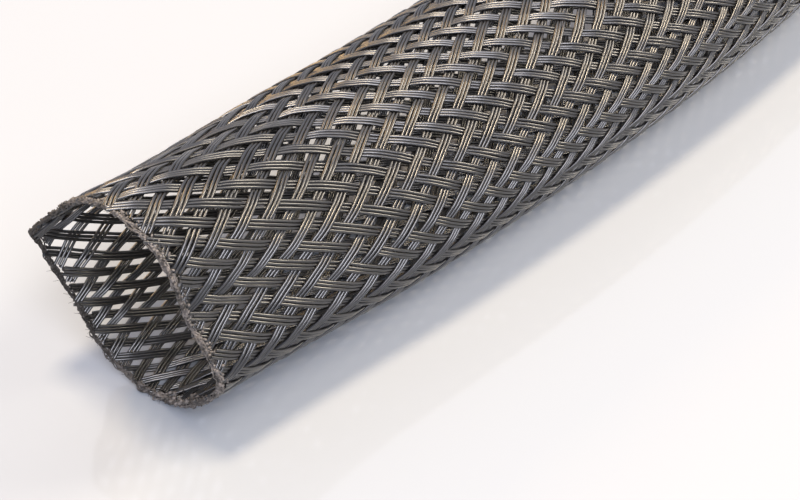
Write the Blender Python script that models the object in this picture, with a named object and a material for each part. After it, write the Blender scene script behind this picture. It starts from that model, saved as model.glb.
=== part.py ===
"""A foot of expandable braided cable sleeve, cut by hand at one end.

The sleeve is braided from two sets of flat strands that wind round it in
opposite directions, 36 strands each way. A strand is three plastic
filaments lying side by side. Each set, or lay, is one solid: its strands
are separate helical strips with open gaps between them, and they join
only in the fused rims of the two cut ends. The right-hand lay is outside
and the left-hand lay is inside.

Metres, +Z up. The sleeve lies on the floor. Its far half runs straight
along +X, and its hand-cut mouth is at the -X end. The origin is on the
floor, under the middle of the sleeve's box.
"""

import math

import bmesh
import bpy
from mathutils import Vector

# Stock: the length along the middle line, and the oval section near the
# mouth and beyond it.
LENGTH = 0.3048
NEAR_WIDTH = 0.0235
NEAR_HEIGHT = 0.0185
FAR_WIDTH = 0.0251
FAR_HEIGHT = 0.0196
SPREADING_LENGTH = 0.075

# Braid: the strands of each lay, what a strand is made of, and how far
# along the sleeve a strand goes in one full turn.
STRANDS_PER_LAY = 36
FILAMENTS_PER_STRAND = 3
FILAMENT_DIAMETER = 0.00025
FILAMENT_SPACING = 0.00027
TURN_LENGTH = 0.098
LAY_CLEARANCE = 0.00035

# Bend: from the mouth on, the sleeve turns gently left and then runs straight.
BEND_ANGLE = math.radians(19.5)
BEND_LENGTH = 0.150

# Mouth: the cutter's squeeze left a leaning, rounded lozenge, cut askew.
# Each wave is a count of waves round the mouth, with its cosine and sine share.
MOUTH_RADIUS = 0.01015
MOUTH_CENTRE_HEIGHT = 0.01245
MOUTH_SIDE_SHIFT = -0.0027
MOUTH_WAVES = ((2, -0.181, 0.014), (3, 0.027, -0.010), (4, 0.038, 0.071))
MOUTH_BLEND_LENGTH = 0.026
MOUTH_SKEW = 0.226
MOUTH_LEAN = -0.077
SKEW_FADE_LENGTH = 0.060

# Cut ends: the length that the hot cutter fused into a rim.
RIM_LENGTH = 0.0010

# Facets: how far a strand turns between two rows of its corners.
MOUTH_ROW_TURN = math.radians(17.0)
FAR_ROW_TURN = math.radians(40.0)
PATH_STEP = 0.0005

# Worked out from the sizes above.
STRAND_WIDTH = (FILAMENTS_PER_STRAND - 1) * FILAMENT_SPACING + FILAMENT_DIAMETER
GIRTH = math.pi * math.sqrt((FAR_WIDTH ** 2 + FAR_HEIGHT ** 2) / 2.0)
BRAID_ANGLE = math.atan(GIRTH / TURN_LENGTH)
STRAND_HALF_ANGLE = math.pi * STRAND_WIDTH / math.cos(BRAID_ANGLE) / GIRTH
INNER_LAY_DEPTH = FILAMENT_DIAMETER + LAY_CLEARANCE


def smooth_step(share):
    """Ease from 0 to 1 as share goes from 0 to 1."""
    share = min(max(share, 0.0), 1.0)
    return share * share * (3.0 - 2.0 * share)


def heading_at(along):
    """Direction of the middle line, as an angle from +X, at a distance along it."""
    return BEND_ANGLE * (smooth_step(along / BEND_LENGTH) - 1.0)


def middle_line():
    """Points of the middle line on the floor, evenly spaced from the mouth on."""
    count = math.ceil(LENGTH / PATH_STEP)
    step = LENGTH / count
    point = Vector((0.0, 0.0, 0.0))
    points = [point.copy()]
    for index in range(count):
        heading = heading_at((index + 0.5) * step)
        point += step * Vector((math.cos(heading), math.sin(heading), 0.0))
        points.append(point.copy())
    return points


def middle_point(line, along):
    """The point of the middle line at a distance along it."""
    place = along / LENGTH * (len(line) - 1)
    index = min(int(place), len(line) - 2)
    return line[index].lerp(line[index + 1], place - index)


def mouth_section(angle):
    """The mouth's outline: its sideways place and its height at an angle round it."""
    radius = MOUTH_RADIUS
    for waves, cosine, sine in MOUTH_WAVES:
        wave = cosine * math.cos(waves * angle) + sine * math.sin(waves * angle)
        radius += MOUTH_RADIUS * wave
    side = MOUTH_SIDE_SHIFT + radius * math.cos(angle)
    height = MOUTH_CENTRE_HEIGHT + radius * math.sin(angle)
    return side, height


def oval_section(angle, along):
    """The oval that rests on the floor: sideways place and height at an angle."""
    share = min(along / SPREADING_LENGTH, 1.0)
    half_width = 0.5 * (NEAR_WIDTH + (FAR_WIDTH - NEAR_WIDTH) * share)
    half_height = 0.5 * (NEAR_HEIGHT + (FAR_HEIGHT - NEAR_HEIGHT) * share)
    return half_width * math.cos(angle), half_height * (1.0 + math.sin(angle))


def section(angle, along):
    """The outline at a distance along the sleeve, from the mouth's to the oval."""
    share = smooth_step(along / MOUTH_BLEND_LENGTH)
    mouth_side, mouth_height = mouth_section(angle)
    oval_side, oval_height = oval_section(angle, along)
    side = mouth_side + (oval_side - mouth_side) * share
    height = mouth_height + (oval_height - mouth_height) * share
    return side, height


def surface_point(line, along, angle, depth):
    """A point of the wall, at a depth under the outline at a place along and round."""
    nudge = 0.01
    side, height = section(angle, along)
    side_before, height_before = section(angle - nudge, along)
    side_after, height_after = section(angle + nudge, along)
    tangent = Vector((side_after - side_before, height_after - height_before))
    tangent.normalize()
    side -= depth * tangent.y
    height += depth * tangent.x
    lean = MOUTH_LEAN * (height - MOUTH_CENTRE_HEIGHT) - MOUTH_SKEW * side
    forward = lean * (1.0 - smooth_step(along / SKEW_FADE_LENGTH))
    heading = heading_at(along)
    ahead = Vector((math.cos(heading), math.sin(heading), 0.0))
    sideways = Vector((-math.sin(heading), math.cos(heading), 0.0))
    base = middle_point(line, along)
    return base + forward * ahead + side * sideways + height * Vector((0.0, 0.0, 1.0))


def even_steps(start, end, longest):
    """Places from start to end, both included, no further apart than longest."""
    count = max(1, math.ceil((end - start) / longest - 1e-6))
    return [start + (end - start) * index / count for index in range(count + 1)]


def strand_rows():
    """Distances along the sleeve at which every strand has its corners."""
    mouth_step = TURN_LENGTH * MOUTH_ROW_TURN / (2.0 * math.pi)
    far_step = TURN_LENGTH * FAR_ROW_TURN / (2.0 * math.pi)
    mouth_rows = even_steps(RIM_LENGTH, RIM_LENGTH + MOUTH_BLEND_LENGTH, mouth_step)
    far_rows = even_steps(mouth_rows[-1], LENGTH - RIM_LENGTH, far_step)
    return mouth_rows + far_rows[1:]


def edge_ring(bm, line, along, turn, depth):
    """The 2 edge corners of every strand, in order round the sleeve, in one row."""
    ring = []
    for strand in range(STRANDS_PER_LAY):
        middle = 2.0 * math.pi * strand / STRANDS_PER_LAY + turn
        for half in (-STRAND_HALF_ANGLE, STRAND_HALF_ANGLE):
            ring.append(bm.verts.new(surface_point(line, along, middle + half, depth)))
    return ring


def add_strip(bm, near, far, left, right, hand):
    """Two triangles between two rows, split on the diagonal that hugs the sleeve."""
    corners = (near[left], near[right], far[right], far[left])
    if hand > 0:
        faces = ((corners[0], corners[1], corners[3]), (corners[1], corners[2], corners[3]))
    else:
        faces = ((corners[0], corners[1], corners[2]), (corners[0], corners[2], corners[3]))
    for face in faces:
        bm.faces.new(face)


def lay_sheet(line, hand, depth):
    """Mesh of a lay's outer skin: a rim, its strands as open strips, and a rim."""
    bm = bmesh.new()
    rows = strand_rows()
    turns = [hand * 2.0 * math.pi * along / TURN_LENGTH for along in rows]
    rings = [edge_ring(bm, line, along, turn, depth) for along, turn in zip(rows, turns)]
    mouth_edge = edge_ring(bm, line, 0.0, turns[0], depth)
    far_edge = edge_ring(bm, line, LENGTH, turns[-1], depth)
    corners = 2 * STRANDS_PER_LAY
    for left in range(corners):
        right = (left + 1) % corners
        add_strip(bm, mouth_edge, rings[0], left, right, hand)
        add_strip(bm, rings[-1], far_edge, left, right, hand)
    for near, far in zip(rings, rings[1:]):
        for left in range(0, corners, 2):
            add_strip(bm, near, far, left, left + 1, hand)
    return bm


def plastic(name, colour):
    """Dark glossy monofilament plastic."""
    material = bpy.data.materials.new(name)
    material.use_nodes = True
    shader = material.node_tree.nodes["Principled BSDF"]
    shader.inputs["Base Color"].default_value = colour
    shader.inputs["Roughness"].default_value = 0.28
    shader.inputs["Metallic"].default_value = 0.0
    return material


def make_lay(name, line, hand, depth, colour):
    """One lay of the braid, a filament thick."""
    bm = lay_sheet(line, hand, depth)
    mesh = bpy.data.meshes.new(name)
    bm.to_mesh(mesh)
    bm.free()
    mesh.materials.append(plastic(name + "_plastic", colour))
    lay = bpy.data.objects.new(name, mesh)
    bpy.context.scene.collection.objects.link(lay)
    wall = lay.modifiers.new("filament_thickness", "SOLIDIFY")
    wall.thickness = FILAMENT_DIAMETER
    wall.offset = -1.0
    wall.use_even_offset = True
    wall.use_quality_normals = True
    return lay


def stand_on_floor(outer, lays):
    """Move the lays so that the origin is on the floor under the box's middle."""
    corners = [vertex.co for vertex in outer.data.vertices]
    low = Vector([min(corner[axis] for corner in corners) for axis in range(3)])
    high = Vector([max(corner[axis] for corner in corners) for axis in range(3)])
    shift = Vector((-0.5 * (low.x + high.x), -0.5 * (low.y + high.y), -low.z))
    for lay in lays:
        lay.location = shift


def main():
    """Build the two lays."""
    for item in list(bpy.data.objects):
        bpy.data.objects.remove(item, do_unlink=True)
    line = middle_line()
    outer_colour = (0.021, 0.019, 0.018, 1.0)
    inner_colour = (0.018, 0.016, 0.015, 1.0)
    outer = make_lay("right_hand_strands", line, 1, 0.0, outer_colour)
    inner = make_lay("left_hand_strands", line, -1, INNER_LAY_DEPTH, inner_colour)
    stand_on_floor(outer, (outer, inner))


main()
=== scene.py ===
"""Looks of a foot of expandable braided cable sleeve.

The sleeve is braided from flat strands of three plastic filaments, two
over and two under. It lies on a pale glossy table with its hand-cut mouth
towards the camera. Everything is in metres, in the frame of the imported
part.
"""

from __future__ import annotations

import logging
import math
from dataclasses import dataclass
from enum import Enum
from typing import Any

import bpy
import numpy as np
from bpy.types import ID, Material, Node, NodeSocket, NodeTree, Object
from mathutils import Matrix, Vector


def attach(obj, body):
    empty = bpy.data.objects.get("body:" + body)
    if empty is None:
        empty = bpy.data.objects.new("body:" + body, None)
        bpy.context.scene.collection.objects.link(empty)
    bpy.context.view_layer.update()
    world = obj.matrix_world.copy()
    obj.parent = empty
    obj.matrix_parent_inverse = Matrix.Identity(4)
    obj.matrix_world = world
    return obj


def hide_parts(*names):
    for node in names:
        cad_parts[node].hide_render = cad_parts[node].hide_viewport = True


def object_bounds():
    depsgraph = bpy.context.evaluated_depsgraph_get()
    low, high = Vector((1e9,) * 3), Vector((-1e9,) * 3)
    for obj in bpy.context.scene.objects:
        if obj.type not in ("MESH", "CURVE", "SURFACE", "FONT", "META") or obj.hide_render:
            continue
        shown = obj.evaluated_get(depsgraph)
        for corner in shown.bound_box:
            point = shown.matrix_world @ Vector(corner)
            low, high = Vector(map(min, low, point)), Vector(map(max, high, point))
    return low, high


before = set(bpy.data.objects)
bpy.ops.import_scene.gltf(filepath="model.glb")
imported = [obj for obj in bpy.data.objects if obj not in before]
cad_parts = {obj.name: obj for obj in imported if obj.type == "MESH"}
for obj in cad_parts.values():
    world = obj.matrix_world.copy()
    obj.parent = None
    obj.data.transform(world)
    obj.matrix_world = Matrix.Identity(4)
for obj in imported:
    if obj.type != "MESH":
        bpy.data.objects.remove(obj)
CAD_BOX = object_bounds()

LOG = logging.getLogger("sleeve")
MM = 0.001
TURN = 2.0 * math.pi
IMAGE_WIDTH = 800
UP = Vector((0.0, 0.0, 1.0))

# What may feed a node's input, besides a plain value.
Feed = Node | NodeSocket

MATH = "ShaderNodeMath"
RANDOM = "FunctionNodeRandomValue"
NOISE = "ShaderNodeTexNoise"
MAP_RANGE = "ShaderNodeMapRange"
COMBINE = "ShaderNodeCombineXYZ"
SPLINE_PLACE = "GeometryNodeSplineParameter"


def add_node(tree: NodeTree, kind: str, inputs: dict | None = None, **settings: Any) -> Node:
    """Add a node with its settings, and set or link its inputs.

    Args:
        tree: The node tree.
        kind: The node's type name.
        inputs: Socket name or number, with its value, or the socket or node that feeds it.
        **settings: The node's own properties.

    Returns:
        The new node. As an input of another node it stands for its first live output.
    """
    node = tree.nodes.new(kind)
    for name, value in settings.items():
        setattr(node, name, value)
    for key, value in (inputs or {}).items():
        if isinstance(key, int):
            socket = node.inputs[key]
        else:
            socket = next(item for item in node.inputs if item.enabled and item.name == key)
        if isinstance(value, Node):
            value = next(item for item in value.outputs if item.enabled)
        if isinstance(value, NodeSocket):
            tree.links.new(value, socket)
        else:
            socket.default_value = value
    return node


def linear(code: str) -> tuple[float, float, float, float]:
    """Turn an sRGB hex colour into the linear one that a shader reads.

    Args:
        code: A hash and six hex digits.

    Returns:
        Linear red, green and blue, and an alpha of 1.
    """
    parts = [int(code[place:place + 2], 16) / 255.0 for place in (1, 3, 5)]
    levels = [
        part / 12.92 if part <= 0.04045 else ((part + 0.055) / 1.055) ** 2.4
        for part in parts
    ]
    return (levels[0], levels[1], levels[2], 1.0)


def smooth_step(share: float | np.ndarray) -> float | np.ndarray:
    """Ease from 0 to 1 as share goes from 0 to 1, for a number or an array."""
    share = np.clip(share, 0.0, 1.0)
    return share * share * (3.0 - 2.0 * share)


def link(name: str, data: ID) -> Object:
    """Make an object from its data and put it in the scene.

    Args:
        name: The object's name.
        data: Its mesh, light or camera.

    Returns:
        The new object.
    """
    item = bpy.data.objects.new(name, data)
    bpy.context.scene.collection.objects.link(item)
    return item


def open_tree(name: str, sizes: tuple[str, ...]) -> NodeTree:
    """Start a node tree that reads the skin, some sizes, a seed and a finish.

    Args:
        name: The tree's name.
        sizes: The names of its number inputs.

    Returns:
        The tree, which has only its input node yet.
    """
    tree = bpy.data.node_groups.new(name, "GeometryNodeTree")
    kinds = {"Skin": "NodeSocketGeometry", **dict.fromkeys(sizes, "NodeSocketFloat")}
    kinds.update({"Seed": "NodeSocketInt", "Finish": "NodeSocketMaterial"})
    for label, kind in kinds.items():
        tree.interface.new_socket(name=label, in_out="INPUT", socket_type=kind)
    tree.interface.new_socket(name="Piece", in_out="OUTPUT", socket_type="NodeSocketGeometry")
    add_node(tree, "NodeGroupInput")
    return tree


def given(tree: NodeTree, name: str) -> NodeSocket:
    """The output with this name of a tree's input node."""
    return tree.nodes["Group Input"].outputs[name]


def close_tree(tree: NodeTree, parts: list[Node]) -> None:
    """Join a tree's parts, make them plain geometry and give them their finish.

    Args:
        tree: The node tree.
        parts: The nodes that give the parts.
    """
    every = add_node(tree, "GeometryNodeJoinGeometry")
    for part in parts:
        tree.links.new(part.outputs[0], every.inputs[0])
    smooth = add_node(tree, "GeometryNodeSetShadeSmooth", {0: every})
    real = add_node(tree, "GeometryNodeRealizeInstances", {0: smooth})
    dressed = {"Geometry": real, "Material": given(tree, "Finish")}
    dressed = add_node(tree, "GeometryNodeSetMaterial", dressed)
    add_node(tree, "NodeGroupOutput", {0: dressed})


def grow(name: str, base: Object, tree: NodeTree, values: dict[str, Any]) -> Object:
    """Run a node tree on an object's mesh and keep the result as a plain mesh.

    Args:
        name: The new piece's name.
        base: The object whose mesh the tree reads.
        tree: The node tree.
        values: The tree's inputs by name.

    Returns:
        The new mesh object, which has no modifier.
    """
    carrier = link(name + "_carrier", base.data)
    modifier = carrier.modifiers.new(name, "NODES")
    modifier.node_group = tree
    for item in tree.interface.items_tree:
        if item.in_out == "INPUT" and item.name in values:
            modifier[item.identifier] = values[item.name]
    graph = bpy.context.evaluated_depsgraph_get()
    mesh = bpy.data.meshes.new_from_object(carrier.evaluated_get(graph), depsgraph=graph)
    mesh.name = name
    bpy.data.objects.remove(carrier)
    return link(name, mesh)


def bundle(tree: NodeTree, points: int, copies: int) -> Node:
    """Add the nodes of a bundle of lines that are still to be laid.

    Args:
        tree: The node tree.
        points: How many points a line has.
        copies: How many lines there are.

    Returns:
        The node that gives the lines and each one's number.
    """
    line = add_node(tree, "GeometryNodeCurvePrimitiveLine")
    line = add_node(tree, "GeometryNodeResampleCurve", {"Curve": line, "Count": points})
    lines = {"Geometry": line, "Amount": copies}
    return add_node(tree, "GeometryNodeDuplicateElements", lines, domain="SPLINE")


def sweep(tree: NodeTree, path: Feed, sides: int, radius: Feed, thickness: Feed | float) -> Node:
    """Add the nodes of closed tubes that follow some curves.

    Args:
        tree: The node tree.
        path: Gives the curves.
        sides: How many sides a tube has.
        radius: Gives a tube's radius.
        thickness: Gives or is the share of the radius along a tube.

    Returns:
        The node that gives the tubes.
    """
    profile = {"Resolution": sides, "Radius": radius}
    profile = add_node(tree, "GeometryNodeCurvePrimitiveCircle", profile)
    tube = {"Curve": path, "Profile Curve": profile, "Scale": thickness, "Fill Caps": True}
    return add_node(tree, "GeometryNodeCurveToMesh", tube)


def swell(tree: NodeTree, around: Feed, place: float, width: float) -> Node:
    """Add the nodes of a smooth swell at one place round the sleeve.

    Args:
        tree: The node tree.
        around: Gives the place round the sleeve, in turns.
        place: Where the swell is highest, in turns.
        width: How wide it is, in turns.

    Returns:
        The node that gives 1 at the swell's top and fades to 0 away from it.
    """
    sharpness = 2.0 / (TURN * width) ** 2
    away = add_node(tree, MATH, {0: around, 1: place}, operation="SUBTRACT")
    away = add_node(tree, MATH, {0: away, 1: TURN}, operation="MULTIPLY")
    wave = add_node(tree, MATH, {0: away}, operation="COSINE")
    power = {0: wave, 1: sharpness, 2: -sharpness}
    power = add_node(tree, MATH, power, operation="MULTIPLY_ADD")
    return add_node(tree, MATH, {0: power}, operation="EXPONENT")


class Hand(Enum):
    """Which way a lay of strands winds, with the part's node and material slot for it."""

    RIGHT = (1.0, "right_hand_strands", "monofilament")
    LEFT = (-1.0, "left_hand_strands", "inner_monofilament")

    def __init__(self, way: float, node: str, slot: str) -> None:
        """Keep the lay's way round, its node and its slot."""
        self.way = way
        self.node = node
        self.slot = slot


class CutEnd(Enum):
    """A cut end of the sleeve. Its value is the way along the sleeve that leads off it."""

    MOUTH = -1.0
    FAR = 1.0


@dataclass(frozen=True)
class SleeveForm:
    """The outer form of the lying sleeve: its middle line and its changing section."""

    length: float = 304.8 * MM
    near_width: float = 23.5 * MM
    near_height: float = 18.5 * MM
    far_width: float = 25.1 * MM
    far_height: float = 19.6 * MM
    spreading_length: float = 75.0 * MM
    bend_angle: float = math.radians(19.5)
    bend_length: float = 150.0 * MM
    mouth_radius: float = 10.15 * MM
    mouth_centre_height: float = 12.45 * MM
    mouth_side_shift: float = -2.7 * MM
    mouth_waves: tuple = ((2, -0.181, 0.014), (3, 0.027, -0.010), (4, 0.038, 0.071))
    mouth_blend_length: float = 26.0 * MM
    mouth_skew: float = 0.226
    mouth_lean: float = -0.077
    skew_fade_length: float = 60.0 * MM
    path_lead: float = 10.0 * MM
    path_points: int = 3001
    nudge: float = 0.01

    def heading(self, along: float | np.ndarray) -> float | np.ndarray:
        """Direction of the middle line, as an angle from +X, at a distance along it."""
        return self.bend_angle * (smooth_step(along / self.bend_length) - 1.0)

    def middle_line(self, along: np.ndarray) -> np.ndarray:
        """Points of the middle line on the floor, placed by the far end of the part's box.

        Args:
            along: Distances from the mouth.

        Returns:
            One floor point for each distance.
        """
        fine = np.linspace(-self.path_lead, self.length + self.path_lead, self.path_points)
        heading = self.heading(0.5 * (fine[1:] + fine[:-1]))
        step = fine[1] - fine[0]
        east = np.concatenate(([0.0], np.cumsum(np.cos(heading) * step)))
        north = np.concatenate(([0.0], np.cumsum(np.sin(heading) * step)))
        low, high = CAD_BOX
        east += high[0] - np.interp(self.length, fine, east)
        north += low[1] + 0.5 * self.far_width - np.interp(self.length, fine, north)
        places = (np.interp(along, fine, east), np.interp(along, fine, north))
        return np.stack((*places, np.zeros_like(along)), -1)

    def outline(self, along: np.ndarray, angle: np.ndarray) -> tuple[np.ndarray, np.ndarray]:
        """The section's sideways place and height, from the mouth's lozenge to the oval.

        Args:
            along: Distances from the mouth.
            angle: Angles round the section, from its left side over the top.

        Returns:
            Sideways places and heights.
        """
        radius = np.ones_like(angle)
        for waves, cosine, sine in self.mouth_waves:
            radius = radius + cosine * np.cos(waves * angle) + sine * np.sin(waves * angle)
        mouth_side = self.mouth_side_shift + self.mouth_radius * radius * np.cos(angle)
        mouth_height = self.mouth_centre_height + self.mouth_radius * radius * np.sin(angle)
        share = np.clip(along / self.spreading_length, 0.0, 1.0)
        half_width = 0.5 * (self.near_width + (self.far_width - self.near_width) * share)
        half_height = 0.5 * (self.near_height + (self.far_height - self.near_height) * share)
        oval_side = half_width * np.cos(angle)
        oval_height = half_height * (1.0 + np.sin(angle))
        share = smooth_step(along / self.mouth_blend_length)
        side = mouth_side + (oval_side - mouth_side) * share
        height = mouth_height + (oval_height - mouth_height) * share
        return side, height

    def girth(self) -> float:
        """Distance round the far oval."""
        return math.pi * math.sqrt((self.far_width ** 2 + self.far_height ** 2) / 2.0)

    def surface(self, along: np.ndarray, angle: np.ndarray) -> tuple[np.ndarray, np.ndarray]:
        """Points of the outer form and the directions that point out of it.

        Args:
            along: Distances from the mouth.
            angle: Angles round the section.

        Returns:
            Points and outward unit directions.
        """
        side, height = self.outline(along, angle)
        side_before, height_before = self.outline(along, angle - self.nudge)
        side_after, height_after = self.outline(along, angle + self.nudge)
        out_side, out_height = height_after - height_before, side_before - side_after
        size = np.hypot(out_side, out_height)
        out_side, out_height = out_side / size, out_height / size
        lean = self.mouth_lean * (height - self.mouth_centre_height) - self.mouth_skew * side
        forward = lean * (1.0 - smooth_step(along / self.skew_fade_length))
        heading = self.heading(along)
        flat = np.zeros_like(heading)
        ahead = np.stack((np.cos(heading), np.sin(heading), flat), -1)
        left = np.stack((-np.sin(heading), np.cos(heading), flat), -1)
        up = np.array(UP)
        point = self.middle_line(along) + forward[..., None] * ahead
        point = point + side[..., None] * left + height[..., None] * up
        return point, out_side[..., None] * left + out_height[..., None] * up


@dataclass(frozen=True)
class Slip:
    """How far the braid has slid over the form since it left the machine.

    The cutter dragged the strands along and round the mouth. Both shifts
    fade out with the distance from it, over a short and a long stretch.
    """

    short_fade: float = 25.0 * MM
    long_fade: float = 60.0 * MM
    pull: float = 5.65 * MM
    short_side_pull: float = 3.56 * MM
    long_side_pull: float = -3.33 * MM
    short_twist: float = -3.55 * MM
    short_side_twist: float = -1.41 * MM
    short_oval_twist: float = 0.42 * MM
    long_twist: float = 2.06 * MM
    long_side_twist: float = 2.84 * MM
    long_lean_twist: float = -1.63 * MM
    twist_girth: float = 70.0 * MM

    def at(self, along: np.ndarray, angle: np.ndarray) -> tuple[np.ndarray, np.ndarray]:
        """The shift between a place on the form and the strands that lie there.

        Args:
            along: Distances from the mouth.
            angle: Angles round the section.

        Returns:
            Shifts along the sleeve, and shifts round it in turns.
        """
        short = 1.0 - smooth_step(along / self.short_fade)
        far = 1.0 - smooth_step(along / self.long_fade)
        side, oval, lean = np.cos(angle), np.cos(2.0 * angle), np.sin(2.0 * angle)
        pull = short * (self.pull + self.short_side_pull * side) + far * self.long_side_pull * side
        twist = self.short_twist + self.short_side_twist * side + self.short_oval_twist * oval
        far_twist = self.long_twist + self.long_side_twist * side + self.long_lean_twist * lean
        return pull, (short * twist + far * far_twist) / self.twist_girth


@dataclass(frozen=True)
class Skin:
    """The form as a mesh with a map, on which node trees lay strands.

    The map runs along the strands in u and round the sleeve in v, so that
    what is laid on it follows the slip of the braid.
    """

    form: SleeveForm
    slip: Slip = Slip()
    overrun: float = 3.0 * MM
    seam_overlap: float = 0.02
    column_step: float = 1.0 * MM
    rows: int = 221
    settling_rounds: int = 12
    tip_place: float = 0.058
    tip_width: float = 0.020
    tip_length: float = 0.85 * MM

    def span(self) -> float:
        """Distance along the strands that the mesh covers."""
        return self.form.length + self.overrun

    def build(self) -> Object:
        """Make the mesh, which is removed once everything is laid on it.

        Returns:
            The mesh object, with its map and its outward directions.
        """
        columns = int(round(self.span() / self.column_step)) + 1
        strand_along, strand_round = np.meshgrid(
            np.linspace(0.0, self.span(), columns),
            np.linspace(-self.seam_overlap, 1.0 + self.seam_overlap, self.rows),
            indexing="ij",
        )
        along, turns = strand_along, strand_round
        for _ in range(self.settling_rounds):
            pull, twist = self.slip.at(along, TURN * turns)
            along, turns = strand_along - pull, strand_round - twist
        point, outward = self.form.surface(along, TURN * turns)
        corner = np.arange(columns * self.rows).reshape(columns, self.rows)
        faces = np.stack(
            (corner[:-1, :-1], corner[:-1, 1:], corner[1:, 1:], corner[1:, :-1]), -1
        ).reshape(-1, 4)
        mesh = bpy.data.meshes.new("skin")
        mesh.from_pydata(point.reshape(-1, 3).tolist(), [], faces.tolist())
        shares = (np.linspace(0.0, 1.0, columns), np.linspace(0.0, 1.0, self.rows))
        place = np.stack(np.meshgrid(*shares, indexing="ij"), -1).reshape(-1, 2)
        layer = mesh.uv_layers.new(name="place")
        layer.data.foreach_set("uv", place[faces.reshape(-1)].astype(np.float32).reshape(-1))
        attribute = mesh.attributes.new("outward", "FLOAT_VECTOR", "POINT")
        attribute.data.foreach_set("vector", outward.astype(np.float32).reshape(-1))
        return link("skin", mesh)

    def cut(self, tree: NodeTree, around: Feed) -> Node:
        """Add the nodes for the distance along the strands at which the mouth is cut.

        Args:
            tree: The node tree.
            around: Gives the place round the mouth, in turns.

        Returns:
            The node that gives the distance, which is shorter at the torn tip.
        """
        tip = swell(tree, around, self.tip_place, self.tip_width)
        edge = {0: tip, 1: -self.tip_length, 2: self.slip.pull}
        return add_node(tree, MATH, edge, operation="MULTIPLY_ADD")

    def lay(self, tree: NodeTree, geometry: Feed, along: Feed, around: Feed, lift: Feed) -> Node:
        """Add the nodes that move points to their places on the skin.

        Args:
            tree: The node tree.
            geometry: Gives the points or curves.
            along: Gives the distance along the strands.
            around: Gives the place round the sleeve, in turns.
            lift: Gives the height over the skin.

        Returns:
            The node that gives the placed geometry.
        """
        scale = 1.0 + 2.0 * self.seam_overlap
        wrapped = add_node(tree, MATH, {0: around}, operation="FRACT")
        share = add_node(tree, MATH, {0: along, 1: 1.0 / self.span()}, operation="MULTIPLY")
        turned = {0: wrapped, 1: 1.0 / scale, 2: self.seam_overlap / scale}
        turned = add_node(tree, MATH, turned, operation="MULTIPLY_ADD")
        place = add_node(tree, COMBINE, {"X": share, "Y": turned})
        named = {"data_type": "FLOAT_VECTOR"}
        skin_map = add_node(tree, "GeometryNodeInputNamedAttribute", {"Name": "place"}, **named)
        out = add_node(tree, "GeometryNodeInputNamedAttribute", {"Name": "outward"}, **named)
        position = add_node(tree, "GeometryNodeInputPosition")
        samples = []
        for value in (position, out):
            inputs = {"Value": value, "UV Map": skin_map, "Sample UV": place}
            inputs["Mesh"] = given(tree, "Skin")
            samples.append(add_node(tree, "GeometryNodeSampleUVSurface", inputs, **named))
        raised = {0: samples[1], "Scale": lift}
        raised = add_node(tree, "ShaderNodeVectorMath", raised, operation="SCALE")
        inputs = {"Geometry": geometry, "Position": samples[0], "Offset": raised}
        return add_node(tree, "GeometryNodeSetPosition", inputs)


@dataclass(frozen=True)
class Monofilament:
    """Polyester monofilament, extruded: smooth, hard and glossy, dark charcoal all through.

    The eye sees a near-black rod with one bright line of light along it.
    Each strand's filament is a little lighter or darker than the next, and
    the line of light breaks up where the rod was scuffed in the braider.
    """

    name: str = "polyester_monofilament"
    dark: str = "#080707"
    pale: str = "#191616"
    roughness: float = 0.34
    polish: float = 0.06
    scuffing: float = 0.08
    ior: float = 1.60
    shine: float = 0.8
    oil_weight: float = 0.4
    oil_roughness: float = 0.24
    streak_length: float = 1.6 * MM
    streak_detail: float = 2.0

    def material(self) -> Material:
        """Build the material.

        Returns:
            The material, which reads each filament's tone attribute.
        """
        material = bpy.data.materials.new(self.name)
        material.use_nodes = True
        tree = material.node_tree
        tree.nodes.clear()
        tone = add_node(tree, "ShaderNodeAttribute", attribute_name="tone").outputs["Fac"]
        place = add_node(tree, "ShaderNodeTexCoord").outputs["Object"]
        streak = {"Vector": place, "Scale": 1.0 / self.streak_length, "Detail": self.streak_detail}
        streak = add_node(tree, NOISE, streak)
        blend = add_node(tree, MATH, {0: tone, 1: streak}, operation="MULTIPLY")
        ramp = add_node(tree, "ShaderNodeValToRGB", {"Fac": blend})
        ramp.color_ramp.elements[0].color = linear(self.dark)
        ramp.color_ramp.elements[1].color = linear(self.pale)
        low, high = self.roughness - self.polish, self.roughness + self.scuffing
        gloss = add_node(tree, MAP_RANGE, {"Value": streak, "To Min": low, "To Max": high})
        shader = {
            "Base Color": ramp,
            "Roughness": gloss,
            "IOR": self.ior,
            "Specular IOR Level": self.shine,
            "Coat Weight": self.oil_weight,
            "Coat Roughness": self.oil_roughness,
        }
        shader = add_node(tree, "ShaderNodeBsdfPrincipled", shader)
        add_node(tree, "ShaderNodeOutputMaterial", {"Surface": shader})
        return material


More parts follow.
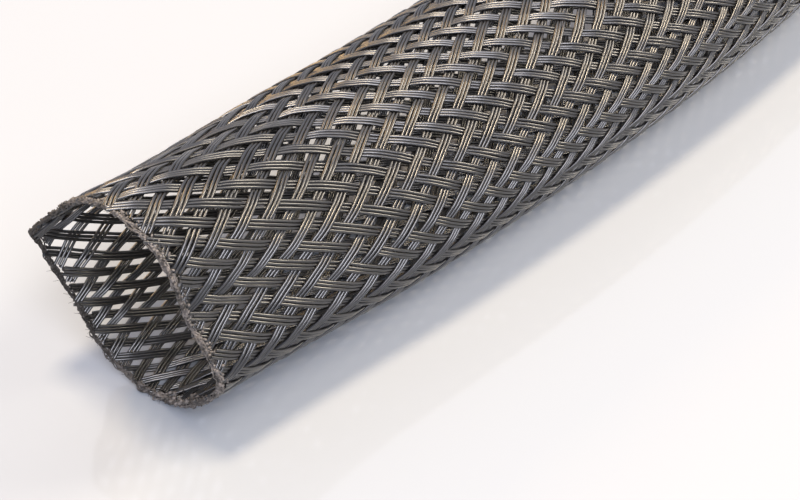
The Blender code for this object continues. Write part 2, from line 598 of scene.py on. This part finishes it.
@dataclass(frozen=True)
class MeltedPolyester:
    """Polyester that a hot cutter melted: dull, grey-brown, with a pitted skin.

    The eye sees a matt, fuzzy crust that is paler than the filaments, and
    whose colour is made darker towards the sleeve's left side, further across the table.
    """

    name: str = "melted_polyester"
    dark: str = "#211d19"
    pale: str = "#807974"
    roughness: float = 0.62
    ior: float = 1.57
    pit_size: float = 0.35 * MM
    pit_depth: float = 0.08 * MM
    pit_detail: float = 3.0
    blotch_size: float = 1.4 * MM
    darkest_noise: float = 0.75
    palest_noise: float = 1.3
    dark_side_start: float = 12.0 * MM
    dark_side_end: float = 19.0 * MM
    dark_side_share: float = 0.15

    def material(self) -> Material:
        """Build the material.

        Returns:
            The material, which grows darker with the place across the table.
        """
        material = bpy.data.materials.new(self.name)
        material.use_nodes = True
        tree = material.node_tree
        tree.nodes.clear()
        place = add_node(tree, "ShaderNodeTexCoord").outputs["Object"]
        pits = {"Vector": place, "Scale": 1.0 / self.pit_size, "Detail": self.pit_detail}
        pits = add_node(tree, NOISE, pits)
        blotch = add_node(tree, NOISE, {"Vector": place, "Scale": 1.0 / self.blotch_size})
        blend = add_node(tree, MATH, {0: pits, 1: blotch}, operation="ADD")
        blend = {"Value": blend, "From Min": self.darkest_noise, "From Max": self.palest_noise}
        blend = add_node(tree, MAP_RANGE, blend)
        # Make the crust darker towards larger Y, the sleeve's left side across the table.
        side = add_node(tree, "ShaderNodeSeparateXYZ", {0: place}).outputs["Y"]
        side_level = {"Value": side, "From Min": self.dark_side_start, "From Max": self.dark_side_end}
        side_level.update({"To Min": 1.0, "To Max": self.dark_side_share})
        side_level = add_node(tree, MAP_RANGE, side_level)
        blend = add_node(tree, MATH, {0: blend, 1: side_level}, operation="MULTIPLY")
        ramp = add_node(tree, "ShaderNodeValToRGB", {"Fac": blend})
        ramp.color_ramp.elements[0].color = linear(self.dark)
        ramp.color_ramp.elements[1].color = linear(self.pale)
        bump = add_node(tree, "ShaderNodeBump", {"Height": pits, "Distance": self.pit_depth})
        shader = {"Base Color": ramp, "Roughness": self.roughness, "IOR": self.ior, "Normal": bump}
        shader = add_node(tree, "ShaderNodeBsdfPrincipled", shader)
        add_node(tree, "ShaderNodeOutputMaterial", {"Surface": shader})
        return material


@dataclass(frozen=True)
class WhiteAcrylic:
    """White acrylic sheet, cast and polished: even, milky and glossy.

    The eye sees a pale ground that mirrors the sleeve faintly.
    """

    name: str = "white_acrylic"
    colour: str = "#9ea2a7"
    roughness: float = 0.07
    ior: float = 1.49

    def material(self) -> Material:
        """Build the material.

        Returns:
            The material, which is the same all over.
        """
        material = bpy.data.materials.new(self.name)
        material.use_nodes = True
        shader = material.node_tree.nodes["Principled BSDF"]
        shader.inputs["Base Color"].default_value = linear(self.colour)
        shader.inputs["Roughness"].default_value = self.roughness
        shader.inputs["IOR"].default_value = self.ior
        return material


@dataclass(frozen=True)
class Braid:
    """The two lays of strands, woven two over and two under."""

    skin: Skin
    strands_per_lay: int = 36
    filaments_per_strand: int = 3
    filament_diameter: float = 0.295 * MM
    filament_spacing: float = 0.285 * MM
    turn_length: float = 98.0 * MM
    weave_repeat: int = 4
    wave_height: float = 0.145 * MM
    wave_steepness: float = 1.5
    right_phase: float = 0.01719
    left_phase: float = 0.02256
    near_crossings: int = 57
    near_points: int = 4
    far_points: int = 1
    near_sides: int = 6
    far_sides: int = 4
    ragged: float = 0.8 * MM
    wander: float = 0.10 * MM
    wander_length: float = 6.0 * MM
    wander_row: float = 7.31
    splay: float = 0.10
    splay_length: float = 7.0 * MM
    right_seed: int = 11
    left_seed: int = 21

    def braid_angle(self) -> float:
        """Angle between a strand and the sleeve's length."""
        return math.atan(self.skin.form.girth() / self.turn_length)

    def weave_phase(self) -> float:
        """Phase that puts every crossing on the crest or in the trough of the weave's wave."""
        strands = self.strands_per_lay * (self.right_phase + self.left_phase)
        return TURN * (0.5 - strands) / self.weave_repeat

    def crossing_pitch(self) -> float:
        """Distance along the sleeve between two crossings of a strand."""
        return self.turn_length / (2.0 * self.strands_per_lay)

    def crossing(self, number: int) -> float:
        """Distance along the strands of the crossing with this number from the mouth."""
        lead = self.strands_per_lay * (self.left_phase - self.right_phase)
        return self.crossing_pitch() * (number + lead)

    def far_end(self) -> float:
        """Distance along the strands of the crossing that the far cut runs through."""
        return self.crossing(math.ceil(self.skin.form.length / self.crossing_pitch() - 0.5))

    def middle_lift(self) -> float:
        """Height of the braid's middle over the skin, which is less than nothing."""
        return -(self.wave_height + 0.5 * self.filament_diameter)

    def tree(self) -> NodeTree:
        """Build the node tree that lays one filament of every strand of a lay.

        Returns:
            The tree, whose inputs choose the lay and the filament.
        """
        sizes = (
            "Hand", "Phase", "Sideways", "Weave Phase", "Wave Height", "Middle Lift",
            "Filament Radius", "Ragged Length",
        )
        tree = open_tree("braided_filaments", sizes)
        mouth, middle = self.skin.slip.pull, self.crossing(self.near_crossings)
        parts = [
            self.run(tree, mouth, middle, self.near_points, self.near_sides),
            self.run(tree, middle, self.far_end(), self.far_points, self.far_sides),
        ]
        close_tree(tree, parts)
        return tree

    def run(self, tree: NodeTree, start: float, end: float, rate: int, sides: int) -> Node:
        """Add the nodes that lay the filaments between two distances along the strands.

        Args:
            tree: The node tree.
            start: Where the filaments start.
            end: Where they end.
            rate: Number of a filament's points for each crossing.
            sides: Number of sides of a filament.

        Returns:
            The node that gives the filaments.
        """
        points = int(round(rate * (end - start) / self.crossing_pitch())) + 1
        hand = given(tree, "Hand")
        copies = bundle(tree, points, self.strands_per_lay)
        strand = copies.outputs["Duplicate Index"]
        own = {0: strand, 1: 1.0 / self.strands_per_lay, 2: given(tree, "Phase")}
        own = add_node(tree, MATH, own, operation="MULTIPLY_ADD")
        first = start
        if start < self.crossing(self.near_crossings):
            mouth = {0: hand, 1: start / self.turn_length, 2: own}
            mouth = add_node(tree, MATH, mouth, operation="MULTIPLY_ADD")
            uneven = {"Max": given(tree, "Ragged Length"), "ID": strand, "Seed": given(tree, "Seed")}
            uneven = add_node(tree, RANDOM, uneven)
            edge = {0: self.skin.cut(tree, mouth), 1: uneven}
            first = add_node(tree, MATH, edge, operation="ADD")
        factor = add_node(tree, SPLINE_PLACE).outputs["Factor"]
        along = add_node(tree, MAP_RANGE, {"Value": factor, "To Min": first, "To Max": end})
        twist = add_node(tree, MATH, {0: hand, 1: 1.0 / self.turn_length}, operation="MULTIPLY")
        sideways = self.sideways(tree, strand, along)
        back = add_node(tree, MATH, {0: sideways, 1: hand}, operation="MULTIPLY")
        shifted = {0: back, 1: -math.sin(self.braid_angle()), 2: along}
        shifted = add_node(tree, MATH, shifted, operation="MULTIPLY_ADD")
        wound = add_node(tree, MATH, {0: along, 1: twist, 2: own}, operation="MULTIPLY_ADD")
        per_turn = math.cos(self.braid_angle()) / self.skin.form.girth()
        around = {0: sideways, 1: per_turn, 2: wound}
        around = add_node(tree, MATH, around, operation="MULTIPLY_ADD")
        crossed = {0: shifted, 1: twist, 2: around}
        crossed = add_node(tree, MATH, crossed, operation="MULTIPLY_ADD")
        lift = self.weave(tree, own, crossed)
        placed = self.skin.lay(tree, copies.outputs[0], shifted, around, lift)
        tone = add_node(tree, RANDOM, {"ID": strand, "Seed": given(tree, "Seed")})
        toned = {"Geometry": placed, "Name": "tone", "Value": tone}
        toned = add_node(tree, "GeometryNodeStoreNamedAttribute", toned)
        return sweep(tree, toned, sides, given(tree, "Filament Radius"), 1.0)

    def weave(self, tree: NodeTree, own: Feed, crossed: Feed) -> Node:
        """Add the nodes for a filament's height as it passes over and under the other lay.

        Args:
            tree: The node tree.
            own: Gives the strand's own place round the sleeve, in turns.
            crossed: Gives the place of the strand that it crosses, in turns.

        Returns:
            The node that gives the height over the skin.
        """
        both_ways = add_node(tree, MATH, {0: own, 1: crossed}, operation="ADD")
        pace = TURN * self.strands_per_lay / self.weave_repeat
        wave = {0: both_ways, 1: pace, 2: given(tree, "Weave Phase")}
        wave = add_node(tree, MATH, wave, operation="MULTIPLY_ADD")
        wave = add_node(tree, MATH, {0: wave}, operation="SINE")
        wave = add_node(tree, MATH, {0: wave, 1: self.wave_steepness}, operation="MULTIPLY")
        wave = add_node(tree, "ShaderNodeClamp", {"Value": wave, "Min": -1.0, "Max": 1.0})
        rise = {0: given(tree, "Hand"), 1: given(tree, "Wave Height")}
        rise = add_node(tree, MATH, rise, operation="MULTIPLY")
        lift = {0: wave, 1: rise, 2: given(tree, "Middle Lift")}
        return add_node(tree, MATH, lift, operation="MULTIPLY_ADD")

    def sideways(self, tree: NodeTree, strand: Feed, along: Feed) -> Node:
        """Add the nodes for a filament's place across its strand, splayed near the mouth.

        Args:
            tree: The node tree.
            strand: Gives the strand's number.
            along: Gives the distance along the strand.

        Returns:
            The node that gives the distance from the strand's middle.
        """
        depth = {0: along, 1: self.skin.slip.pull}
        depth = add_node(tree, MATH, depth, operation="SUBTRACT")
        fade = add_node(tree, MATH, {0: depth, 1: -1.0 / self.splay_length}, operation="MULTIPLY")
        fade = add_node(tree, MATH, {0: fade}, operation="EXPONENT")
        spread = {0: fade, 1: self.splay, 2: 1.0}
        spread = add_node(tree, MATH, spread, operation="MULTIPLY_ADD")
        row = {0: strand, 1: self.wander_row, 2: given(tree, "Seed")}
        row = add_node(tree, MATH, row, operation="MULTIPLY_ADD")
        stretch = {0: along, 1: 1.0 / self.wander_length}
        stretch = add_node(tree, MATH, stretch, operation="MULTIPLY")
        place = add_node(tree, COMBINE, {"X": stretch, "Y": row})
        wander = add_node(tree, NOISE, {"Vector": place, "Scale": 1.0, "Detail": 1.0})
        drift = {"Value": wander, "To Min": -self.wander, "To Max": self.wander}
        drift = add_node(tree, MAP_RANGE, drift)
        place = {0: given(tree, "Sideways"), 1: spread, 2: drift}
        return add_node(tree, MATH, place, operation="MULTIPLY_ADD")

    def build(self, skin: Object, finish: Material) -> dict[Object, Hand]:
        """Lay every filament of both lays.

        Args:
            skin: The sleeve's outer form.
            finish: The filaments' material.

        Returns:
            The hand of each new mesh.
        """
        tree = self.tree()
        pieces = {}
        for hand in Hand:
            phase = self.right_phase if hand is Hand.RIGHT else self.left_phase
            seed = self.right_seed if hand is Hand.RIGHT else self.left_seed
            for index, place in enumerate(("first", "middle", "last")):
                across = index - 0.5 * (self.filaments_per_strand - 1)
                values = {
                    "Hand": hand.way,
                    "Phase": phase,
                    "Sideways": across * self.filament_spacing,
                    "Weave Phase": self.weave_phase(),
                    "Wave Height": self.wave_height,
                    "Middle Lift": self.middle_lift(),
                    "Filament Radius": 0.5 * self.filament_diameter,
                    "Ragged Length": self.ragged,
                    "Seed": seed + index,
                    "Finish": finish,
                }
                name = f"{hand.name.lower()}_hand_{place}_filaments"
                pieces[grow(name, skin, tree, values)] = hand
        return pieces


@dataclass(frozen=True)
class MeltedRim:
    """The crust where the hot cutter melted the filaments' tips together.

    It is made of lumpy threads that run round the cut, of blobs, and of
    fine hairs that were drawn out of the melt. A thread's waves are those
    of its place, height and thickness. A hair's draws are its root, lean,
    slant and size.
    """

    name: str
    braid: Braid
    end: CutEnd
    place: float
    thread_count: int = 8
    thread_points: int = 480
    thread_sides: int = 6
    thread_radius: float = 0.065 * MM
    thread_thickness: tuple = (0.35, 1.5)
    thread_spread: float = 0.38 * MM
    thread_lift: float = 0.25 * MM
    thread_waves: tuple = (38.0, 60.0, 130.0)
    thread_detail: float = 2.0
    thread_row: float = 3.7
    noise_range: tuple = (0.25, 0.75)
    blob_count: int = 1300
    blob_radius: float = 0.17 * MM
    blob_spread: float = 0.80 * MM
    blob_outward: float = 0.5
    blob_lift: tuple = (-0.42 * MM, -0.05 * MM)
    blob_least: tuple = (0.35, 0.35, 0.35)
    blob_most: tuple = (1.5, 1.1, 0.9)
    hair_count: int = 320
    hair_points: int = 6
    hair_sides: int = 4
    hair_length: float = 0.8 * MM
    hair_rise: float = 0.30
    hair_radius: float = 0.030 * MM
    hair_tip: float = 0.45
    hair_draws: tuple = ((0.0, 1.0), (-0.9, 1.0), (-1.0, 1.0), (0.2, 1.0))
    heap_place: float = 0.66
    heap_width: float = 0.09
    heap_growth: float = 0.9
    seed: int = 5
    spread_seed: int = 31
    lift_seed: int = 57
    size_seed: int = 83
    turn_seed: int = 91
    hair_seed: int = 101
    hair_seed_step: int = 7

    def tree(self) -> NodeTree:
        """Build the node tree of the threads, blobs and hairs.

        Returns:
            The tree, whose inputs hold the crust's sizes.
        """
        sizes = (
            "Thread Radius", "Thread Spread", "Thread Lift", "Blob Radius", "Blob Spread",
            "Hair Radius", "Hair Reach", "Hair Rise", "Middle Lift",
        )
        tree = open_tree(self.name, sizes)
        parts = [part(tree) for part in (self.threads, self.blobs, self.hairs)]
        close_tree(tree, parts)
        return tree

    def heap(self, tree: NodeTree, around: Feed) -> Node:
        """Add the nodes for how much the melt piles up.

        Args:
            tree: The node tree.
            around: Gives the place round the rim, in turns.

        Returns:
            The node that gives 1 on most of the rim and more where the melt piles up.
        """
        near = swell(tree, around, self.heap_place, self.heap_width)
        growth = {0: near, 1: self.heap_growth, 2: 1.0}
        return add_node(tree, MATH, growth, operation="MULTIPLY_ADD")

    def edge(self, tree: NodeTree, around: Feed) -> Node | float:
        """Add the nodes for the distance along the strands at which the crust sits.

        Args:
            tree: The node tree.
            around: Gives the place round the rim, in turns.

        Returns:
            The node that gives the distance, or the distance itself at the even far cut.
        """
        if self.end is CutEnd.FAR:
            return self.place
        cut = self.braid.skin.cut(tree, around)
        return add_node(tree, MATH, {0: cut, 1: self.place}, operation="ADD")

    def threads(self, tree: NodeTree) -> Node:
        """Add the nodes of the lumpy threads that run round the cut.

        Args:
            tree: The node tree.

        Returns:
            The node that gives the threads.
        """
        copies = bundle(tree, self.thread_points, self.thread_count)
        thread = copies.outputs["Duplicate Index"]
        around = add_node(tree, SPLINE_PLACE).outputs["Factor"]
        row = {0: thread, 1: self.thread_row, 2: given(tree, "Seed")}
        row = add_node(tree, MATH, row, operation="MULTIPLY_ADD")
        waves = []
        low, high = self.noise_range
        for layer, scale in enumerate(self.thread_waves):
            where = add_node(tree, COMBINE, {"X": around, "Y": row, "Z": float(layer)})
            noise = {"Vector": where, "Scale": scale, "Detail": self.thread_detail}
            noise = add_node(tree, NOISE, noise)
            wave = {"Value": noise, "From Min": low, "From Max": high, "To Min": -1.0}
            waves.append(add_node(tree, MAP_RANGE, wave))
        heap = self.heap(tree, around)
        reach = add_node(tree, MATH, {0: heap, 1: given(tree, "Thread Spread")}, operation="MULTIPLY")
        along = {0: waves[0], 1: reach, 2: self.edge(tree, around)}
        along = add_node(tree, MATH, along, operation="MULTIPLY_ADD")
        lift = {0: waves[1], 1: given(tree, "Thread Lift"), 2: given(tree, "Middle Lift")}
        lift = add_node(tree, MATH, lift, operation="MULTIPLY_ADD")
        placed = self.braid.skin.lay(tree, copies.outputs[0], along, around, lift)
        thin, thick = self.thread_thickness
        thick = {"Value": waves[2], "From Min": -1.0, "To Min": thin, "To Max": thick}
        thick = add_node(tree, MAP_RANGE, thick)
        return sweep(tree, placed, self.thread_sides, given(tree, "Thread Radius"), thick)

    def blobs(self, tree: NodeTree) -> Node:
        """Add the nodes of the blobs that sit on and beside the threads.

        Args:
            tree: The node tree.

        Returns:
            The node that gives the blobs.
        """
        way = self.end.value
        points = add_node(tree, "GeometryNodePoints", {"Count": self.blob_count})
        around = add_node(tree, RANDOM, {"Seed": given(tree, "Seed")})
        least = self.blob_outward * way
        spread = {"Min": least, "Max": -way, "Seed": self.spread_seed + self.seed}
        spread = add_node(tree, RANDOM, spread)
        heap = self.heap(tree, around)
        reach = add_node(tree, MATH, {0: heap, 1: given(tree, "Blob Spread")}, operation="MULTIPLY")
        near = add_node(tree, MATH, {0: spread, 1: spread}, operation="MULTIPLY")
        near = add_node(tree, MATH, {0: near, 1: spread}, operation="MULTIPLY")
        along = {0: near, 1: reach, 2: self.edge(tree, around)}
        along = add_node(tree, MATH, along, operation="MULTIPLY_ADD")
        low, high = self.blob_lift
        lift = {"Min": low, "Max": high, "Seed": self.lift_seed + self.seed}
        lift = add_node(tree, RANDOM, lift)
        placed = self.braid.skin.lay(tree, points, along, around, lift)
        ball = {"Radius": given(tree, "Blob Radius"), "Subdivisions": 1}
        ball = add_node(tree, "GeometryNodeMeshIcoSphere", ball)
        size = {"Min": self.blob_least, "Max": self.blob_most, "Seed": self.size_seed + self.seed}
        size = add_node(tree, RANDOM, size, data_type="FLOAT_VECTOR")
        size = add_node(tree, "ShaderNodeVectorMath", {0: size, "Scale": heap}, operation="SCALE")
        turn = {"Max": (TURN, TURN, TURN), "Seed": self.turn_seed + self.seed}
        turn = add_node(tree, RANDOM, turn, data_type="FLOAT_VECTOR")
        many = {"Points": placed, "Instance": ball, "Rotation": turn, "Scale": size}
        return add_node(tree, "GeometryNodeInstanceOnPoints", many)

    def hairs(self, tree: NodeTree) -> Node:
        """Add the nodes of the fine hairs that stand off the crust.

        Args:
            tree: The node tree.

        Returns:
            The node that gives the hairs.
        """
        copies = bundle(tree, self.hair_points, self.hair_count)
        hair = copies.outputs["Duplicate Index"]
        factor = add_node(tree, SPLINE_PLACE).outputs["Factor"]
        draws = []
        for index, (least, most) in enumerate(self.hair_draws):
            seed = self.hair_seed + self.hair_seed_step * index + self.seed
            draw = {"Min": least, "Max": most, "ID": hair, "Seed": seed}
            draws.append(add_node(tree, RANDOM, draw))
        root, lean, slant, size = draws
        run = add_node(tree, MATH, {0: factor, 1: size}, operation="MULTIPLY")
        bend = add_node(tree, MATH, {0: run, 1: run}, operation="MULTIPLY")
        step = add_node(tree, MATH, {0: run, 1: lean}, operation="MULTIPLY")
        along = {0: step, 1: given(tree, "Hair Reach"), 2: self.edge(tree, root)}
        along = add_node(tree, MATH, along, operation="MULTIPLY_ADD")
        side = add_node(tree, MATH, {0: bend, 1: slant}, operation="MULTIPLY")
        turns = self.hair_length / self.braid.skin.form.girth()
        around = {0: side, 1: turns, 2: root}
        around = add_node(tree, MATH, around, operation="MULTIPLY_ADD")
        rise = {0: run, 1: given(tree, "Hair Rise"), 2: given(tree, "Middle Lift")}
        rise = add_node(tree, MATH, rise, operation="MULTIPLY_ADD")
        placed = self.braid.skin.lay(tree, copies.outputs[0], along, around, rise)
        thin = {"Value": factor, "To Min": 1.0, "To Max": self.hair_tip}
        thin = add_node(tree, MAP_RANGE, thin)
        return sweep(tree, placed, self.hair_sides, given(tree, "Hair Radius"), thin)

    def build(self, skin: Object, finish: Material) -> Object:
        """Make the crust as one mesh.

        Args:
            skin: The sleeve's outer form.
            finish: The crust's material.

        Returns:
            The crust's mesh object.
        """
        values = {
            "Thread Radius": self.thread_radius,
            "Thread Spread": self.thread_spread,
            "Thread Lift": self.thread_lift,
            "Blob Radius": self.blob_radius,
            "Blob Spread": self.blob_spread,
            "Hair Radius": self.hair_radius,
            "Hair Reach": self.end.value * self.hair_length,
            "Hair Rise": self.hair_rise * self.hair_length,
            "Middle Lift": self.braid.middle_lift(),
            "Seed": self.seed,
            "Finish": finish,
        }
        return grow(self.name, skin, self.tree(), values)


@dataclass(frozen=True)
class Softbox:
    """One soft rectangular light. Its angles are in degrees and its power in watts."""

    name: str
    heading: float
    height: float
    distance: float
    size: tuple[float, float]
    power: float
    tint: str

    def hang(self, aim: Vector) -> None:
        """Hang the light so that it faces a point.

        Args:
            aim: The point, from which the light's angles and distance are measured.
        """
        data = bpy.data.lights.new(self.name, "AREA")
        data.shape = "RECTANGLE"
        data.size, data.size_y = self.size
        data.energy = self.power
        data.color = linear(self.tint)[:3]
        light = link(self.name, data)
        turn, rise = math.radians(self.heading), math.radians(self.height)
        level = math.cos(rise)
        away = Vector((level * math.cos(turn), level * math.sin(turn), math.sin(rise)))
        light.location = aim + self.distance * away
        light.rotation_euler = (-away).to_track_quat("-Z", "Y").to_euler()


@dataclass(frozen=True)
class Studio:
    """The pale glossy table, the soft lights and the camera."""

    form: SleeveForm
    floor_size: float = 6.0
    camera_from_mouth: tuple = (-65.5 * MM, -72.1 * MM)
    camera_height: float = 110.3 * MM
    camera_heading: float = math.radians(33.2)
    camera_pitch: float = math.radians(45.0)
    camera_roll: float = math.radians(-2.25)
    camera_clip: float = 5.0 * MM
    focal_pixels: float = 1655.0
    sensor_width: float = 36.0
    aim: tuple = (-0.11, 0.0, 0.01)
    air_tint: str = "#dce6ff"
    air_strength: float = 0.58
    lights: tuple = (
        Softbox("overhead_lamp", 100.0, 88.0, 0.8, (0.13, 0.13), 7.1, "#ffe9c8"),
        Softbox("right_softbox", -40.0, 37.0, 0.8, (0.26, 0.26), 5.8, "#fff0d8"),
        Softbox("left_softbox", 66.0, 33.0, 0.8, (0.20, 0.20), 2.3, "#ffcf8a"),
        Softbox("near_softbox", -130.0, 50.0, 0.8, (0.4, 0.4), 6.6, "#f6f5ff"),
        Softbox("backdrop", 33.0, 43.0, 1.6, (1.6, 1.0), 4.2, "#f3f4ff"),
    )

    def camera(self) -> None:
        """Set the camera at the photograph's viewing angle."""
        data = bpy.data.cameras.new("camera")
        data.sensor_width = self.sensor_width
        data.lens = self.focal_pixels * self.sensor_width / IMAGE_WIDTH
        data.clip_start = self.camera_clip
        camera = link("camera", data)
        mouth = self.form.middle_line(np.array([0.0]))[0]
        place = [mouth[axis] + self.camera_from_mouth[axis] for axis in (0, 1)]
        heading, pitch, roll = self.camera_heading, self.camera_pitch, self.camera_roll
        level = Vector((math.cos(heading), math.sin(heading), 0.0))
        forward = math.cos(pitch) * level - math.sin(pitch) * UP
        right = Vector((math.sin(heading), -math.cos(heading), 0.0))
        up = right.cross(forward)
        turned_right = math.cos(roll) * right + math.sin(roll) * up
        turned_up = math.cos(roll) * up - math.sin(roll) * right
        turn = Matrix((turned_right, turned_up, -forward)).transposed().to_4x4()
        camera.matrix_world = Matrix.Translation((*place, self.camera_height)) @ turn
        bpy.context.scene.camera = camera

    def floor(self) -> None:
        """Lay the pale glossy table that the sleeve lies on."""
        half = 0.5 * self.floor_size
        mesh = bpy.data.meshes.new("table_top")
        corners = [(-half, -half, 0.0), (half, -half, 0.0), (half, half, 0.0), (-half, half, 0.0)]
        mesh.from_pydata(corners, [], [(0, 1, 2, 3)])
        floor = link("table_top", mesh)
        mesh.materials.append(WhiteAcrylic().material())

    def world(self) -> None:
        """Surround the table with an even, slightly cool white."""
        world = bpy.data.worlds.new("studio")
        bpy.context.scene.world = world
        world.use_nodes = True
        shade = world.node_tree.nodes["Background"]
        shade.inputs["Color"].default_value = linear(self.air_tint)
        shade.inputs["Strength"].default_value = self.air_strength

    def build(self) -> None:
        """Set up everything round the sleeve."""
        bpy.context.scene.view_settings.view_transform = "Standard"
        self.camera()
        self.floor()
        self.world()
        for light in self.lights:
            light.hang(Vector(self.aim))


def main() -> None:
    """Build the sleeve and the studio, and tie each piece to the part."""
    logging.basicConfig(level=logging.INFO, format="%(message)s")
    form = SleeveForm()
    skin = Skin(form)
    carrier = skin.build()
    braid = Braid(skin)
    pieces = braid.build(carrier, Monofilament().material())
    melt = MeltedPolyester().material()
    inset = 0.10 * MM
    mouth = MeltedRim("melted_mouth_rim", braid, CutEnd.MOUTH, inset)
    pieces[mouth.build(carrier, melt)] = Hand.RIGHT
    far = MeltedRim(
        "melted_far_rim", braid, CutEnd.FAR, braid.far_end() - inset,
        thread_count=6, thread_points=360, thread_spread=0.2 * MM,
        blob_count=300, blob_spread=0.4 * MM, hair_count=30, hair_length=0.3 * MM,
        heap_growth=0.0, seed=9,
    )
    pieces[far.build(carrier, melt)] = Hand.RIGHT
    bpy.data.objects.remove(carrier)
    for piece, hand in pieces.items():
        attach(piece, "root")
        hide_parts(hand.node)
        LOG.info("%s: %d faces", piece.name, len(piece.data.polygons))
    Studio(form).build()


if __name__ == "__main__":
    main()
